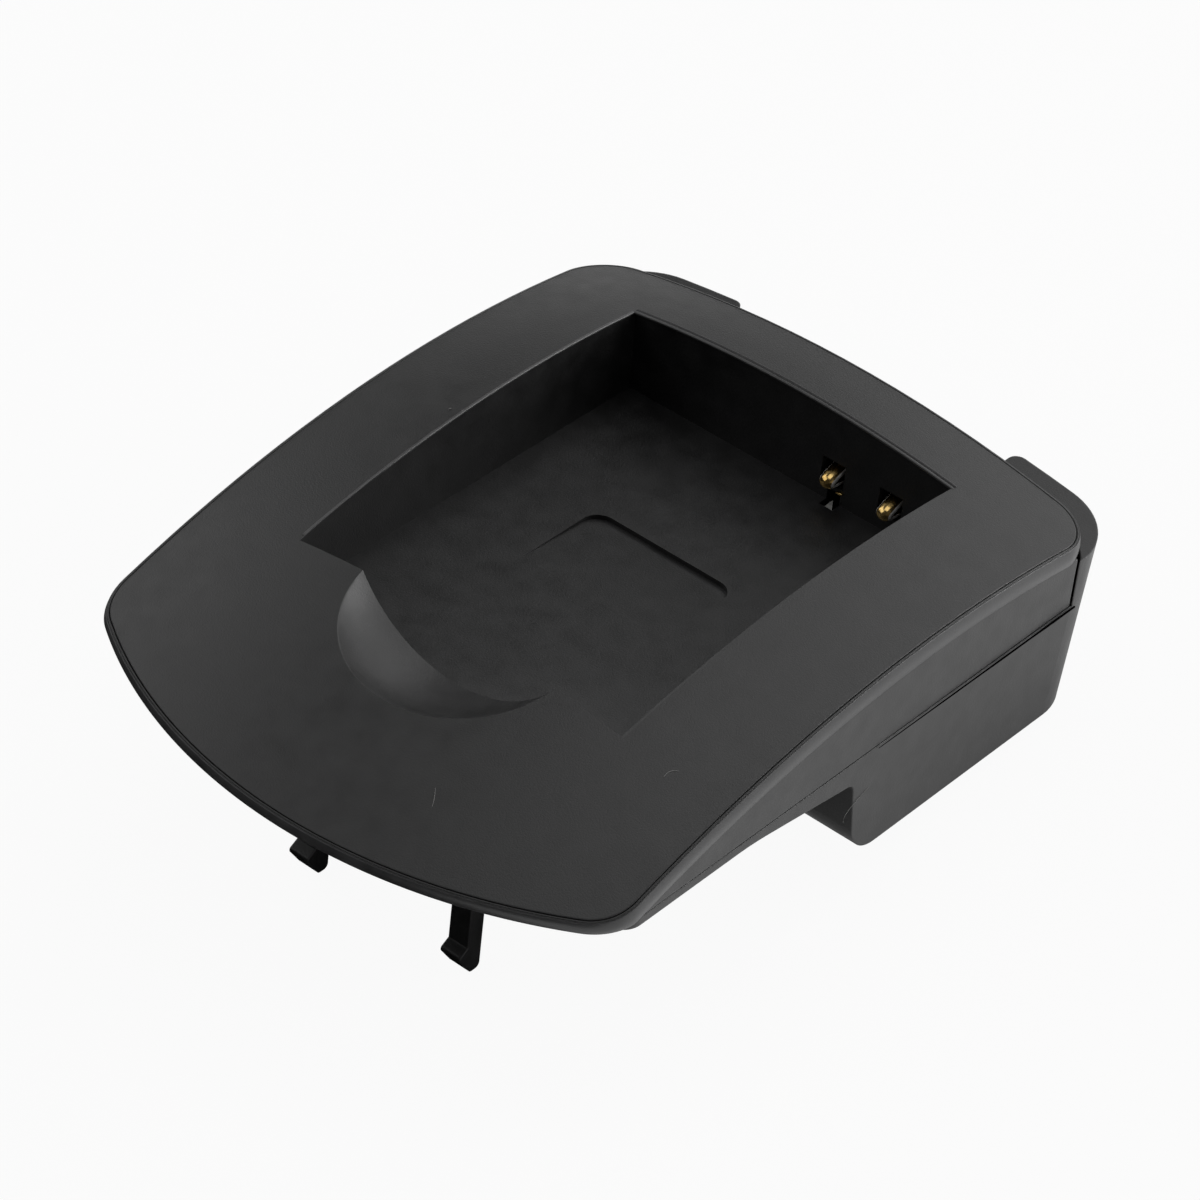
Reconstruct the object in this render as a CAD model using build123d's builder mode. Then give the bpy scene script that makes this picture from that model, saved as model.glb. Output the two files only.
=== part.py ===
from build123d import *
from math import sqrt
import os

os.makedirs("parts", exist_ok=True)

# Clip-on cradle plate of a camera battery charger, in millimetres.
# X runs across, +Y to the rear, +Z up; the origin is under the middle, level with the leg tips.

# Lid: plan, dome and edge
lid_width = 55.6
lid_length = 71.8
front_radius = 46.5
front_corner_radius = 5.0
rear_corner_radius = 4.5
dome_rise = 11.7
dome_from_back = 20.7
dome_across_radius = 116.7
dome_along_radius = 127.4
dome_sections = 5
lip_height = 1.85
lip_overhang = 0.2
groove_inset = 0.1
groove_width = 0.24
groove_depth = 0.3
shell_wall = 1.6

# Battery pocket, finger scoop and bare label recess
pocket_width = 35.0
pocket_draft = 0.45
pocket_length = 42.6
pocket_from_back = 7.8
floor_rise = 1.85
tub_wall = 1.2
scoop_radius = 12.5
scoop_bottom_rise = 0.33
scoop_beyond_pocket = 0.5
label_width = 15.3
label_offset = 0.3
label_length = 9.6
label_from_back_wall = 15.9
label_depth = 0.45
label_corner_radius = 1.7

# Lower housing: plate, rear box and the two ears behind the lid
plate_thickness = 0.84
plate_setback = 2.0
plate_corner_radius = 2.0
ramp_from_back = 45.3
ramp_slope = 0.122
ramp_round = 30.0
box_depth = 11.1
box_from_back = 32.25
box_front_slope = 0.15
box_front_round = 3.6
box_root_round = 1.0
box_wall = 1.6
rear_reach = 5.27
rear_radius = 226.0
rear_round = 6.5
rear_slope = 0.12
ear_rise = 5.92
ear_crown_radius = 323.0
ear_front_from_back = 2.3
notch_width = 30.2
notch_round = 1.0
ear_gap = 0.35
seam_rear = 0.3
seam_front = 0.06

# Snap legs
leg_length = 18.47
leg_width = 2.1
leg_thickness = 1.7
leg_spacing = 16.9
leg_from_back = 55.5
barb_height = 2.9
barb_reach = 0.9
barb_slope = 0.55
barb_flat = 0.35
barb_round = 0.3
leg_tip_run = 0.55
leg_tip_round = 0.5

# Screws, with the posts, pads and bosses that they clamp
screw_head_diameter = 3.8
screw_head_height = 1.3
screw_diameter = 1.9
screw_length = 4.0
rear_screw_from_side = 5.8
rear_screw_from_back = 5.8
front_screw_from_side = 5.2
front_screw_from_back = 51.8
post_diameter = 6.4
post_roof = 1.6
pad_rise = 1.7
pad_roof = 1.2
post_clearance = 0.4
boss_diameter = 5.0
head_clearance = 0.3
shank_clearance = 0.15
thread_clearance = 0.05
pilot_overrun = 0.2
drive_width = 0.6
drive_length = 2.2
drive_depth = 0.6

# Circuit board and what stands on it
board_width = 35.0
board_length = 25.0
board_thickness = 1.0
board_from_front_wall = 2.0
board_standoff = 2.6
standoff_diameter = 3.6
standoff_margin = 2.4
chip_length = 3.2
chip_width = 1.6
chip_height = 0.6
chip_spacing = 4.2
chip_count = 3
chips_from_front = 12.0
capacitor_length = 3.6
capacitor_width = 2.8
capacitor_height = 1.9
capacitor_offset = 9.0

# Battery contacts: sprung strips that look through slots in the pocket's back wall
contact_width = 1.5
contact_thickness = 0.3
contact_nose_reach = 3.75
contact_nose_rise = 2.45
contact_bend = 0.55
contact_behind_wall = 1.0
contact_tail_end = 0.8
contact_low_rise = 1.75
contact_high_rise = 3.6
contact_top_rise = 5.2
contact_first_x = 5.4
contact_pitch = 6.2
slot_width = 2.5
slot_low_rise = 1.6
slot_high_rise = 4.1
drain_width = 1.4
drain_offset = 0.4
drain_reach = 1.0
drain_rise = 1.2
board_slot_clearance = 0.1

# Base contacts: flat studs set in windows of the box floor
stud_count = 4
stud_pitch = 5.0
stud_width = 2.2
stud_length = 6.0
stud_recess = 0.3
stud_flange = 0.7
stud_flange_thickness = 0.4
stud_pin = 0.8
stud_pin_end = 0.6
stud_from_front_wall = 7.0
stud_clearance = 0.15

# Places that follow from the sizes above
overall_length = lid_length + rear_reach
front_y = -overall_length / 2
rear_y = overall_length / 2
lid_back_y = front_y + lid_length
pocket_back_y = lid_back_y - pocket_from_back
pocket_front_y = pocket_back_y - pocket_length
box_front_y = lid_back_y - box_from_back
plate_bottom = leg_length
seam = plate_bottom + plate_thickness
pocket_floor = seam + floor_rise
box_bottom = seam - box_depth
box_floor = box_bottom + box_wall
ear_top = seam + ear_rise
dome_y = lid_back_y - dome_from_back
wall_half = lid_width / 2 - lip_overhang
ear_front_y = lid_back_y - ear_front_from_back
board_bottom = box_floor + board_standoff
board_top = board_bottom + board_thickness
board_front_y = box_front_y + box_wall + board_from_front_wall
board_y = board_front_y + board_length / 2
tall = 2 * dome_rise

lean = (0, rear_slope, 1)
lean_stretch = sqrt(1 + rear_slope**2)

seam_plane = Plane.XY.offset(seam)


def dome_z(y, drop):
    """Height of the dome's centre line at y, lowered by drop."""
    sag = dome_along_radius - sqrt(dome_along_radius**2 - (y - dome_y) ** 2)
    return seam + dome_rise - drop - sag


def dome_body(drop):
    """Barrel under the dome: discs on a low axis, each as tall as the arc along Y asks, lofted together."""
    axis_z = seam + dome_rise - drop - dome_across_radius
    step = (overall_length + 2 * shell_wall) / (dome_sections - 1)
    with BuildPart() as barrel:
        for index in range(dome_sections):
            y = front_y - shell_wall + index * step
            with BuildSketch(Plane(origin=(0, y, axis_z), x_dir=(1, 0, 0), z_dir=(0, -1, 0))):
                Circle(dome_z(y, drop) - axis_z)
        loft()
    return barrel.part


def lid_outline(inset):
    """Lid plan moved inwards by inset: straight sides, bowed front, four rounded corners."""
    length = lid_length - 2 * inset
    with BuildSketch(seam_plane) as plan:
        with Locations((0, front_y + inset + length / 2)):
            Rectangle(lid_width - 2 * inset, length)
        with Locations((0, front_y + front_radius)):
            Circle(front_radius - inset, mode=Mode.INTERSECT)
        fillet(plan.vertices().group_by(Axis.Y)[-1], rear_corner_radius - inset)
        fillet(plan.vertices().group_by(Axis.Y)[0], front_corner_radius - inset)
    return plan.sketch


def wall_outline(inset):
    """Cover wall plan: the lid's plan under its lip, with square rear ends that meet the ears."""
    with BuildSketch(seam_plane) as plan:
        add(lid_outline(lip_overhang + inset))
        flank = ear_front_y - ear_gap - inset - dome_y
        with Locations((0, dome_y + flank / 2)):
            Rectangle(2 * (wall_half - inset), flank)
    return plan.sketch


def rear_outline(level, inset=0.0):
    """Plan of the rear box at one level: straight sides and a bowed rear with large corners."""
    shift = rear_slope * (level - seam)
    back = rear_y + shift - inset
    front = box_front_y + shift
    half = wall_half - inset
    with BuildSketch(Plane.XY.offset(level)) as plan:
        with Locations((0, (front + back) / 2)):
            Rectangle(2 * half, back - front)
        with Locations((0, back - rear_radius)):
            Circle(rear_radius, mode=Mode.INTERSECT)
        fillet(plan.vertices().group_by(Axis.Y)[-1], rear_round - inset)
    return plan.sketch


def front_space(inset):
    """Space before the box's leaning front wall, moved into the wall by inset."""
    front = box_front_y + inset
    with BuildPart() as space:
        with BuildSketch(Plane.YZ):
            with BuildLine():
                Polyline(
                    (front, seam),
                    (front + box_front_slope * box_depth, box_bottom),
                    (front_y, box_bottom),
                    (front_y, seam),
                    close=True,
                )
            make_face()
        extrude(amount=lid_width, both=True)
    return space.part


def plate_outline():
    """Plan of the front plate, set back under the lid's front edge."""
    back = box_front_y + box_wall
    front = front_y + plate_setback
    with BuildSketch(seam_plane) as plan:
        with Locations((0, (front + back) / 2)):
            Rectangle(2 * wall_half, back - front)
        with Locations((0, front_y + front_radius)):
            Circle(front_radius - plate_setback, mode=Mode.INTERSECT)
        fillet(plan.vertices().group_by(Axis.Y)[0], plate_corner_radius)
    return plan.sketch


rear_screw_x = lid_width / 2 - rear_screw_from_side
front_screw_x = lid_width / 2 - front_screw_from_side
rear_screws = [(side * rear_screw_x, lid_back_y - rear_screw_from_back) for side in (-1, 1)]
front_screws = [(side * front_screw_x, lid_back_y - front_screw_from_back) for side in (-1, 1)]
rear_seat = seam - post_roof
front_seat = seam + pad_rise - pad_roof
front_boss = seam + pad_rise
contact_places = [contact_first_x, contact_first_x + contact_pitch]
contact_tail_y = pocket_back_y + tub_wall + contact_behind_wall
stud_places = [(index - (stud_count - 1) / 2) * stud_pitch for index in range(stud_count)]
stud_y = box_front_y + box_wall + stud_from_front_wall
standoff_x = board_width / 2 - standoff_margin
standoff_y = board_length / 2 - standoff_margin
standoffs = [(i * standoff_x, board_y + j * standoff_y) for i in (-1, 1) for j in (-1, 1)]
scoop_center = (0, pocket_front_y - scoop_beyond_pocket, pocket_floor + scoop_bottom_rise + scoop_radius)

# Lid plate: the domed skin with its lip, above the side walls
with BuildPart() as lid_plate:
    extrude(lid_outline(0.0), amount=tall)
    add(dome_body(0.0), mode=Mode.INTERSECT)
    add(dome_body(lip_height), mode=Mode.SUBTRACT)

# Groove that parts the top face from its lip
with BuildPart() as lip_groove:
    extrude(lid_outline(groove_inset), amount=tall)
    extrude(lid_outline(groove_inset + groove_width), amount=tall, mode=Mode.SUBTRACT)
    add(dome_body(groove_depth), mode=Mode.SUBTRACT)

# Hollow of the cover: what is left inside round the pocket tub, the scoop and the screw bosses
with BuildPart() as cover_hollow:
    extrude(wall_outline(shell_wall), amount=tall)
    add(dome_body(shell_wall), mode=Mode.INTERSECT)
    with Locations((0, (pocket_back_y + pocket_front_y) / 2, pocket_floor - tub_wall)):
        Box(
            pocket_width + 2 * tub_wall,
            pocket_length + 2 * tub_wall,
            tall,
            align=(Align.CENTER, Align.CENTER, Align.MIN),
            mode=Mode.SUBTRACT,
        )
    with BuildSketch(Plane.YZ):
        with Locations(scoop_center[1:]):
            Circle(scoop_radius + tub_wall)
    extrude(amount=scoop_radius, both=True, mode=Mode.SUBTRACT)
    with BuildSketch(seam_plane):
        with Locations(*rear_screws):
            Circle(boss_diameter / 2)
    extrude(amount=tall, mode=Mode.SUBTRACT)
    with BuildSketch(Plane.XY.offset(front_boss)):
        with Locations(*front_screws):
            Circle(boss_diameter / 2)
    extrude(amount=tall, mode=Mode.SUBTRACT)

# Label recess: a ramp, deep at the rear and running out at the front
label_back_y = pocket_back_y - label_from_back_wall
with BuildPart() as label_recess:
    with BuildSketch(Plane.YZ):
        with BuildLine():
            Polyline(
                (label_back_y, pocket_floor),
                (label_back_y, pocket_floor - label_depth),
                (label_back_y - label_length, pocket_floor),
                close=True,
            )
        make_face()
    extrude(amount=label_width, both=True)
    with BuildSketch(Plane.XY.offset(pocket_floor - label_depth)) as label_plan:
        with Locations((label_offset, label_back_y - label_length / 2)):
            Rectangle(label_width, label_length)
        fillet(label_plan.vertices().group_by(Axis.Y)[-1], label_corner_radius)
    extrude(amount=label_depth, mode=Mode.INTERSECT)

# Seam: a wedge taken off the cover's lower edge, so that the joint line opens towards the rear
with BuildPart() as seam_wedge:
    with BuildSketch(Plane.YZ):
        with BuildLine():
            Polyline(
                (front_y, seam - seam_rear),
                (rear_y, seam - seam_rear),
                (rear_y, seam + seam_rear),
                (front_y, seam + seam_front),
                close=True,
            )
        make_face()
    extrude(amount=lid_width, both=True)
    with BuildSketch(seam_plane):
        with Locations(*rear_screws):
            Circle(boss_diameter / 2)
    extrude(amount=tall, mode=Mode.SUBTRACT)

with BuildPart() as top_cover:
    extrude(wall_outline(0.0), amount=tall)
    add(dome_body(lip_height), mode=Mode.INTERSECT)
    add(lid_plate.part)
    add(lip_groove.part, mode=Mode.SUBTRACT)
    add(cover_hollow.part, mode=Mode.SUBTRACT)
    # Battery pocket, scoop and label recess
    with BuildSketch(Plane.XZ.offset(-pocket_back_y)):
        with BuildLine():
            Polyline(
                (-pocket_width / 2 + pocket_draft, pocket_floor),
                (pocket_width / 2 - pocket_draft, pocket_floor),
                (pocket_width / 2, seam + dome_rise),
                (-pocket_width / 2, seam + dome_rise),
                close=True,
            )
        make_face()
    extrude(amount=pocket_length, mode=Mode.SUBTRACT)
    with Locations(scoop_center):
        Sphere(scoop_radius, mode=Mode.SUBTRACT)
    add(label_recess.part, mode=Mode.SUBTRACT)
    # Slots for the battery contacts, the first with a small window through wall and floor
    with BuildSketch(Plane.XZ.offset(-pocket_back_y)):
        for place in contact_places:
            with Locations((place, pocket_floor + (slot_low_rise + slot_high_rise) / 2)):
                Rectangle(slot_width, slot_high_rise - slot_low_rise)
    extrude(amount=-tub_wall, mode=Mode.SUBTRACT)
    with BuildSketch(Plane.XY.offset(pocket_floor + drain_rise)):
        with Locations((contact_first_x + drain_offset, pocket_back_y + (tub_wall - drain_reach) / 2)):
            Rectangle(drain_width, tub_wall + drain_reach)
    extrude(amount=-drain_rise - tub_wall, mode=Mode.SUBTRACT)
    # Pilot holes in the four bosses
    with BuildSketch(Plane.XY.offset(rear_seat)):
        with Locations(*rear_screws):
            Circle(screw_diameter / 2 + thread_clearance)
    extrude(amount=screw_length + pilot_overrun, mode=Mode.SUBTRACT)
    with BuildSketch(Plane.XY.offset(front_seat)):
        with Locations(*front_screws):
            Circle(screw_diameter / 2 + thread_clearance)
    extrude(amount=screw_length + pilot_overrun, mode=Mode.SUBTRACT)
    add(seam_wedge.part, mode=Mode.SUBTRACT)
top_cover.part.label = "top_cover"
export_step(top_cover.part, "parts/top_cover.step")

# Space that the cover takes above the seam
with BuildPart() as cover_space:
    with BuildSketch(seam_plane):
        add(lid_outline(-ear_gap))
        with Locations((0, ear_front_y - lid_length / 2)):
            Rectangle(lid_width + 2 * ear_gap, lid_length)
    extrude(amount=tall)

# Hollow of the box: under a roof behind the cover, open to the cover's own hollow
with BuildPart() as box_hollow:
    extrude(rear_outline(box_floor, box_wall), amount=(box_depth - 2 * box_wall) * lean_stretch, dir=lean)
    add(front_space(box_wall), mode=Mode.SUBTRACT)
    with BuildSketch(Plane.XY.offset(seam - box_wall)):
        add(wall_outline(shell_wall))
        with Locations((0, box_front_y + 2 * box_wall)):
            Rectangle(lid_width, lid_length, align=(Align.CENTER, Align.MAX), mode=Mode.SUBTRACT)
    extrude(amount=box_wall)
    with BuildSketch(Plane.XY.offset(box_floor)):
        with Locations(*rear_screws):
            Circle(post_diameter / 2)
    extrude(amount=tall, mode=Mode.SUBTRACT)
    with BuildSketch(Plane.XY.offset(box_floor)):
        with Locations(*standoffs):
            Circle(standoff_diameter / 2)
    extrude(amount=board_standoff, mode=Mode.SUBTRACT)

# One snap leg in side view: a straight arm with a barb that faces forwards
leg_back_y = lid_back_y - leg_from_back
leg_front_y = leg_back_y - leg_thickness
with BuildPart() as snap_legs:
    for side in (-1, 1):
        with BuildSketch(Plane.YZ.offset(side * leg_spacing / 2)) as leg_side:
            with BuildLine():
                Polyline(
                    (leg_back_y, 0),
                    (leg_back_y, plate_bottom),
                    (leg_front_y, plate_bottom),
                    (leg_front_y, barb_height),
                    (leg_front_y - barb_reach, barb_height - barb_slope),
                    (leg_front_y - barb_reach, barb_height - barb_slope - barb_flat),
                    (leg_front_y + leg_tip_run, 0),
                    close=True,
                )
            make_face()
            fillet(leg_side.vertices().group_by(Axis.Y)[0], leg_tip_round)
            fillet(leg_side.vertices().group_by(Axis.X)[0], barb_round)
        extrude(amount=leg_width / 2, both=True)

# Front plate: thin at the front, with an underside that ramps down to the box
ramp_y = lid_back_y - ramp_from_back
ramp_end_y = box_front_y + box_wall
ramp_end_z = plate_bottom - ramp_slope * (ramp_end_y - ramp_y)
with BuildPart() as front_plate:
    extrude(plate_outline(), amount=ramp_end_z - seam)
    with BuildSketch(Plane.YZ) as plate_side:
        with BuildLine():
            Polyline(
                (front_y, seam),
                (front_y, plate_bottom),
                (ramp_y, plate_bottom),
                (ramp_end_y, ramp_end_z),
                (ramp_end_y, seam),
                close=True,
            )
        make_face()
        fillet(plate_side.vertices().sort_by_distance((ramp_y, plate_bottom))[0], ramp_round)
    extrude(amount=lid_width, both=True, mode=Mode.INTERSECT)

with BuildPart() as lower_housing:
    # Rear box: its rear leans out towards the top, and so does its front
    extrude(rear_outline(box_bottom), amount=box_depth * lean_stretch, dir=lean)
    add(front_space(0.0), mode=Mode.SUBTRACT)
    fillet(lower_housing.edges().group_by(Axis.Z)[0].sort_by(Axis.Y)[0], box_front_round)
    # Ears behind the lid, with the notch between them and crowned tops
    with BuildSketch(seam_plane) as ear_plan:
        add(rear_outline(seam))
        with Locations((0, rear_y)):
            Rectangle(notch_width, 4 * rear_reach, mode=Mode.SUBTRACT)
        ends = ear_plan.vertices().filter_by_position(Axis.X, -rear_screw_x, rear_screw_x)
        fillet(ends.group_by(Axis.Y)[-1], notch_round)
    extrude(amount=ear_rise * lean_stretch, dir=lean)
    add(cover_space.part, mode=Mode.SUBTRACT)
    with BuildSketch(Plane.XZ):
        with Locations((0, ear_top - ear_crown_radius)):
            Circle(ear_crown_radius)
    extrude(amount=overall_length, both=True, mode=Mode.INTERSECT)
    # Front plate with its legs
    add(front_plate.part)
    root = lower_housing.edges().filter_by(Axis.X).sort_by_distance((0, ramp_end_y, ramp_end_z))[0]
    fillet(root, box_root_round)
    add(snap_legs.part)
    add(box_hollow.part, mode=Mode.SUBTRACT)
    # Pads for the front screws, clear of the pocket tub
    with BuildSketch(seam_plane):
        with Locations(*front_screws):
            Circle(post_diameter / 2)
        with Locations((0, (pocket_back_y + pocket_front_y) / 2)):
            Rectangle(
                pocket_width + 2 * (tub_wall + post_clearance),
                pocket_length + 2 * (tub_wall + post_clearance),
                mode=Mode.SUBTRACT,
            )
    extrude(amount=pad_rise)
    # Screw wells from below, and the holes above them
    with BuildSketch(Plane.XY.offset(box_bottom)):
        with Locations(*rear_screws):
            Circle(screw_head_diameter / 2 + head_clearance)
    extrude(amount=rear_seat - box_bottom, mode=Mode.SUBTRACT)
    with BuildSketch(Plane.XY.offset(plate_bottom)):
        with Locations(*front_screws):
            Circle(screw_head_diameter / 2 + head_clearance)
    extrude(amount=front_seat - plate_bottom, mode=Mode.SUBTRACT)
    with BuildSketch(Plane.XY.offset(rear_seat)):
        with Locations(*rear_screws, *front_screws):
            Circle(screw_diameter / 2 + shank_clearance)
    extrude(amount=tall, mode=Mode.SUBTRACT)
    # Windows for the base contacts
    with BuildSketch(Plane.XY.offset(box_bottom)):
        for place in stud_places:
            with Locations((place, stud_y)):
                Rectangle(stud_width + 2 * stud_clearance, stud_length + 2 * stud_clearance)
    extrude(amount=box_wall, mode=Mode.SUBTRACT)
lower_housing.part.label = "lower_housing"
export_step(lower_housing.part, "parts/lower_housing.step")


def battery_contact(place):
    """One sprung strip: a soldered tail, a rounded nose through the slot, and a short free end."""
    with BuildPart() as strip:
        with BuildSketch(Plane.YZ.offset(place)):
            with BuildLine() as path:
                FilletPolyline(
                    (contact_tail_y, board_bottom - contact_tail_end),
                    (contact_tail_y, pocket_floor + contact_low_rise),
                    (pocket_back_y - contact_nose_reach, pocket_floor + contact_nose_rise),
                    (contact_tail_y, pocket_floor + contact_high_rise),
                    (contact_tail_y, pocket_floor + contact_top_rise),
                    radius=contact_bend,
                )
            trace(path.line, contact_thickness)
        extrude(amount=contact_width / 2, both=True)
    return strip.part


with BuildPart() as battery_contact_positive:
    add(battery_contact(contact_places[0]))
battery_contact_positive.part.label = "battery_contact_positive"
export_step(battery_contact_positive.part, "parts/battery_contact_positive.step")

with BuildPart() as battery_contact_negative:
    add(battery_contact(contact_places[1]))
battery_contact_negative.part.label = "battery_contact_negative"
export_step(battery_contact_negative.part, "parts/battery_contact_negative.step")

with BuildPart() as circuit_board:
    with BuildSketch(Plane.XY.offset(board_bottom)):
        with Locations((0, board_y)):
            Rectangle(board_width, board_length)
        with Locations(*rear_screws):
            Circle(post_diameter / 2 + post_clearance, mode=Mode.SUBTRACT)
        for place in contact_places:
            with Locations((place, contact_tail_y)):
                Rectangle(
                    contact_width + 2 * board_slot_clearance,
                    contact_thickness + 2 * board_slot_clearance,
                    mode=Mode.SUBTRACT,
                )
        for place in stud_places:
            with Locations((place, stud_y)):
                pin_hole = stud_pin + 2 * board_slot_clearance
                Rectangle(pin_hole, pin_hole, mode=Mode.SUBTRACT)
    extrude(amount=board_thickness)
circuit_board.part.label = "circuit_board"
export_step(circuit_board.part, "parts/circuit_board.step")

# Base contacts: a stud in each floor window, a flange that lies on the floor, a pin up to the board
with BuildPart() as base_contacts:
    for place in stud_places:
        with BuildSketch(Plane.XY.offset(box_bottom + stud_recess)):
            with Locations((place, stud_y)):
                Rectangle(stud_width, stud_length)
        extrude(amount=box_wall - stud_recess)
        with BuildSketch(Plane.XY.offset(box_floor)):
            with Locations((place, stud_y)):
                Rectangle(stud_width + 2 * stud_flange, stud_length + 2 * stud_flange)
        extrude(amount=stud_flange_thickness)
        with BuildSketch(Plane.XY.offset(box_floor)):
            with Locations((place, stud_y)):
                Rectangle(stud_pin, stud_pin)
        extrude(amount=board_standoff + board_thickness + stud_pin_end)
base_contacts.part.label = "base_contacts"
export_step(base_contacts.part, "parts/base_contacts.step")

chips_y = board_front_y + chips_from_front
with BuildPart() as chip_resistors:
    with BuildSketch(Plane.XY.offset(board_top)):
        with Locations((0, chips_y)):
            with GridLocations(chip_spacing, chip_spacing, chip_count, 1):
                Rectangle(chip_width, chip_length)
    extrude(amount=chip_height)
chip_resistors.part.label = "chip_resistors"
export_step(chip_resistors.part, "parts/chip_resistors.step")

with BuildPart() as chip_capacitor:
    with BuildSketch(Plane.XY.offset(board_top)):
        with Locations((-capacitor_offset, chips_y)):
            Rectangle(capacitor_width, capacitor_length)
    extrude(amount=capacitor_height)
chip_capacitor.part.label = "chip_capacitor"
export_step(chip_capacitor.part, "parts/chip_capacitor.step")


def screw(place, seat):
    """Pan-head screw with a cross drive: the head hangs below its seat and the shank runs up."""
    with BuildPart() as body:
        with BuildSketch(Plane.XY.offset(seat)):
            with Locations(place):
                Circle(screw_diameter / 2)
        extrude(amount=screw_length)
        with BuildSketch(Plane.XY.offset(seat)):
            with Locations(place):
                Circle(screw_head_diameter / 2)
        extrude(amount=-screw_head_height)
        with BuildSketch(Plane.XY.offset(seat - screw_head_height)):
            with Locations(place):
                Rectangle(drive_length, drive_width)
                Rectangle(drive_width, drive_length)
        extrude(amount=drive_depth, mode=Mode.SUBTRACT)
    return body.part


with BuildPart() as housing_screws:
    for place in rear_screws:
        add(screw(place, rear_seat))
    for place in front_screws:
        add(screw(place, front_seat))
housing_screws.part.label = "housing_screws"
export_step(housing_screws.part, "parts/housing_screws.step")
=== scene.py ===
# %% [markdown]
# # A clip-on cradle plate in Blender
# The object is the plate of a camera battery charger: a domed charcoal lid with a pocket for the battery,
# over a boxed housing with two snap legs. Its solids come from CAD and stay where they are. This script
# gives them their finishes, adds the small things that CAD leaves out, and lights them.

# %% Load the solids
import math

import bpy
import numpy as np
from mathutils import Matrix, Vector


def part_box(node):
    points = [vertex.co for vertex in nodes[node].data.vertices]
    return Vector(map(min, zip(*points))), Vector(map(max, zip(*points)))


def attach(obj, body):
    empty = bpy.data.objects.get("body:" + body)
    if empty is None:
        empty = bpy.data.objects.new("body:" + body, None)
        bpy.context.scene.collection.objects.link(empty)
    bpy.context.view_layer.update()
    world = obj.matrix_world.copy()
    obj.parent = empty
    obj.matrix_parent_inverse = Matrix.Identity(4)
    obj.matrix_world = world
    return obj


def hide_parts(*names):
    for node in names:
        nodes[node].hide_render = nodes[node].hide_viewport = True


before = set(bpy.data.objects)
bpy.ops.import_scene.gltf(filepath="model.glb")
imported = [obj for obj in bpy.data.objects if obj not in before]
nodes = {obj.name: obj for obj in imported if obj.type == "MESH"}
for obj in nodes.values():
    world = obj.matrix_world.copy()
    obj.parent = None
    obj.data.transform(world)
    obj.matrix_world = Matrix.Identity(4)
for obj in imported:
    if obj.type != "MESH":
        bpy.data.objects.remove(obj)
scene = bpy.context.scene
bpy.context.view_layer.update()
print("nodes:", sorted(nodes))

# %% [markdown]
# ## Camera
# The photograph was taken with a long lens from the front right and above, with the object turned a few
# degrees in the picture. A camera is a place and three directions: right, up and back. Writing those three
# as the columns of a matrix sets the view in one step, with no tracking constraint to settle.

# %% Camera
view_right = Vector((0.758962, 0.644653, 0.091647))
view_up = Vector((-0.452046, 0.420356, 0.786737))
view_back = Vector((0.468648, -0.638533, 0.610447))
eye = Vector((0.190955, -0.258672, 0.268661))
camera_data = bpy.data.cameras.new("photo_camera")
camera_data.sensor_fit = "HORIZONTAL"
camera_data.sensor_width = 36.0
camera_data.lens = 146.5016
camera_data.clip_start = 0.02
camera = bpy.data.objects.new("photo_camera", camera_data)
scene.collection.objects.link(camera)
turn = Matrix((view_right, view_up, view_back)).transposed()
camera.matrix_world = Matrix.Translation(eye) @ turn.to_4x4()
scene.camera = camera
print("camera at", [round(v, 3) for v in eye], "lens", camera_data.lens)

# %% [markdown]
# ## Floor and background
# The part stands nose up: on the tips of its two legs and on the lower rear edge of its box. A level floor
# would leave the box in the air, so the floor is a plane through those two lines. The photograph's ground is
# pure white. More lamps could bleach the floor, but they would flood the part as well. So the floor glows
# at a strength of 1 for the rays that look at it, over a small share of plain paper that keeps the shadow.
# Glossy rays meet the glow at the right and the rear only, because the front was dark in that studio, and
# right under the part an Ambient Occlusion node dims the glow, a painted shadow.

# %% Floor
leg_low, leg_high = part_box("lower_housing")
tip_y = leg_low[1] + 0.0138
box_rear_y = leg_high[1] - 0.0014
box_bottom_z = leg_low[2] + 0.00821


def tilted_sheet(name, half, low_line, high_line):
    """A square sheet through two lines across X: height = low z + slope x (y - low y)."""
    (y0, z0), (y1, z1) = low_line, high_line
    slope = (z1 - z0) / (y1 - y0)
    across, along = np.meshgrid(np.linspace(-half, half, 2), np.linspace(-half, half, 2))
    points = np.stack([across, along, z0 + slope * (along - y0)], axis=-1).reshape(-1, 3)
    mesh = bpy.data.meshes.new(name)
    mesh.from_pydata(points.tolist(), [], [(0, 1, 3, 2)])
    sheet = bpy.data.objects.new(name, mesh)
    scene.collection.objects.link(sheet)
    print(name, "tilt in degrees:", round(math.degrees(math.atan(slope)), 2))
    return sheet


floor = tilted_sheet("floor", 6.0, (tip_y, leg_low[2]), (box_rear_y, box_bottom_z))


def new_material(name):
    """A material with an empty node tree, and its output node."""
    material = bpy.data.materials.new(name)
    material.use_nodes = True
    tree = material.node_tree
    tree.nodes.clear()
    return material, tree, tree.nodes.new("ShaderNodeOutputMaterial")


def seen_mask(tree):
    """1 for camera, glossy and transmission rays and 0 for the rest: the largest of the three."""
    path = tree.nodes.new("ShaderNodeLightPath")
    first = tree.nodes.new("ShaderNodeMath")
    first.operation = "MAXIMUM"
    second = tree.nodes.new("ShaderNodeMath")
    second.operation = "MAXIMUM"
    tree.links.new(path.outputs["Is Camera Ray"], first.inputs[0])
    tree.links.new(path.outputs["Is Glossy Ray"], first.inputs[1])
    tree.links.new(first.outputs[0], second.inputs[0])
    tree.links.new(path.outputs["Is Transmission Ray"], second.inputs[1])
    return second.outputs[0]


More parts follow.
